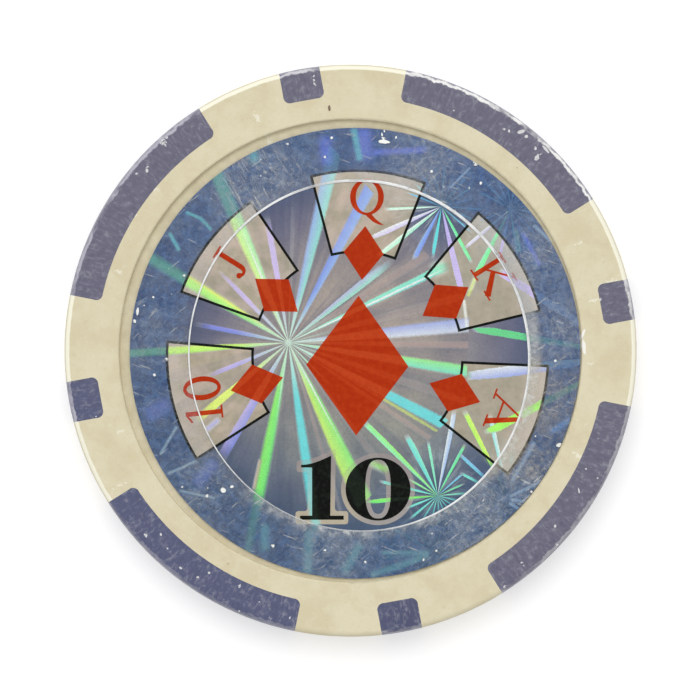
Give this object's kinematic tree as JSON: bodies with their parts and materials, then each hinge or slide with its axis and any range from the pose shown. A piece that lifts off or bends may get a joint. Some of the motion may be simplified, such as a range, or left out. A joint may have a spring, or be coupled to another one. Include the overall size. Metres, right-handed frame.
{
  "type": "poker chip",
  "caption": "Round two-colour moulded gaming chip with dark edge spots, a steel weight sealed inside and a foil label with a playing-card print recessed in each face.",
  "frame": {"origin": "centre of the back face, on the surface that the chip lies on", "axes": "+Z out of the front face, along the chip's thickness; +Y towards the top of the front print"},
  "size_m": [0.04, 0.04, 0.0033],
  "materials": {
    "steel": "plain blanked sheet steel, sealed inside the plastic",
    "cream_plastic": "satin moulded plastic, cream, lightly scuffed and specked, polished by handling at the edge",
    "spot_plastic": "satin moulded plastic, dull slate violet, with pale scuffs and nicks along the outer edge",
    "adhesive": "thin coat of clear gum",
    "label_foil": "silver holographic foil with starburst rays, printed in blue, red and black inks",
    "clear_film": "clear glossy film, hazed by fine scratches and scuffs"
  },
  "bodies": {
    "root": {"weight_slug": "steel", "body": "cream_plastic", "long_spot_1": "spot_plastic", "long_spot_2": "spot_plastic", "long_spot_3": "spot_plastic", "long_spot_4": "spot_plastic", "short_spot_1": "spot_plastic", "short_spot_2": "spot_plastic", "short_spot_3": "spot_plastic", "short_spot_4": "spot_plastic", "front_adhesive": "adhesive", "back_adhesive": "adhesive", "front_label": "label_foil", "back_label": "label_foil", "front_ring_film": "clear_film", "back_ring_film": "clear_film"}
  },
  "joints": []
}
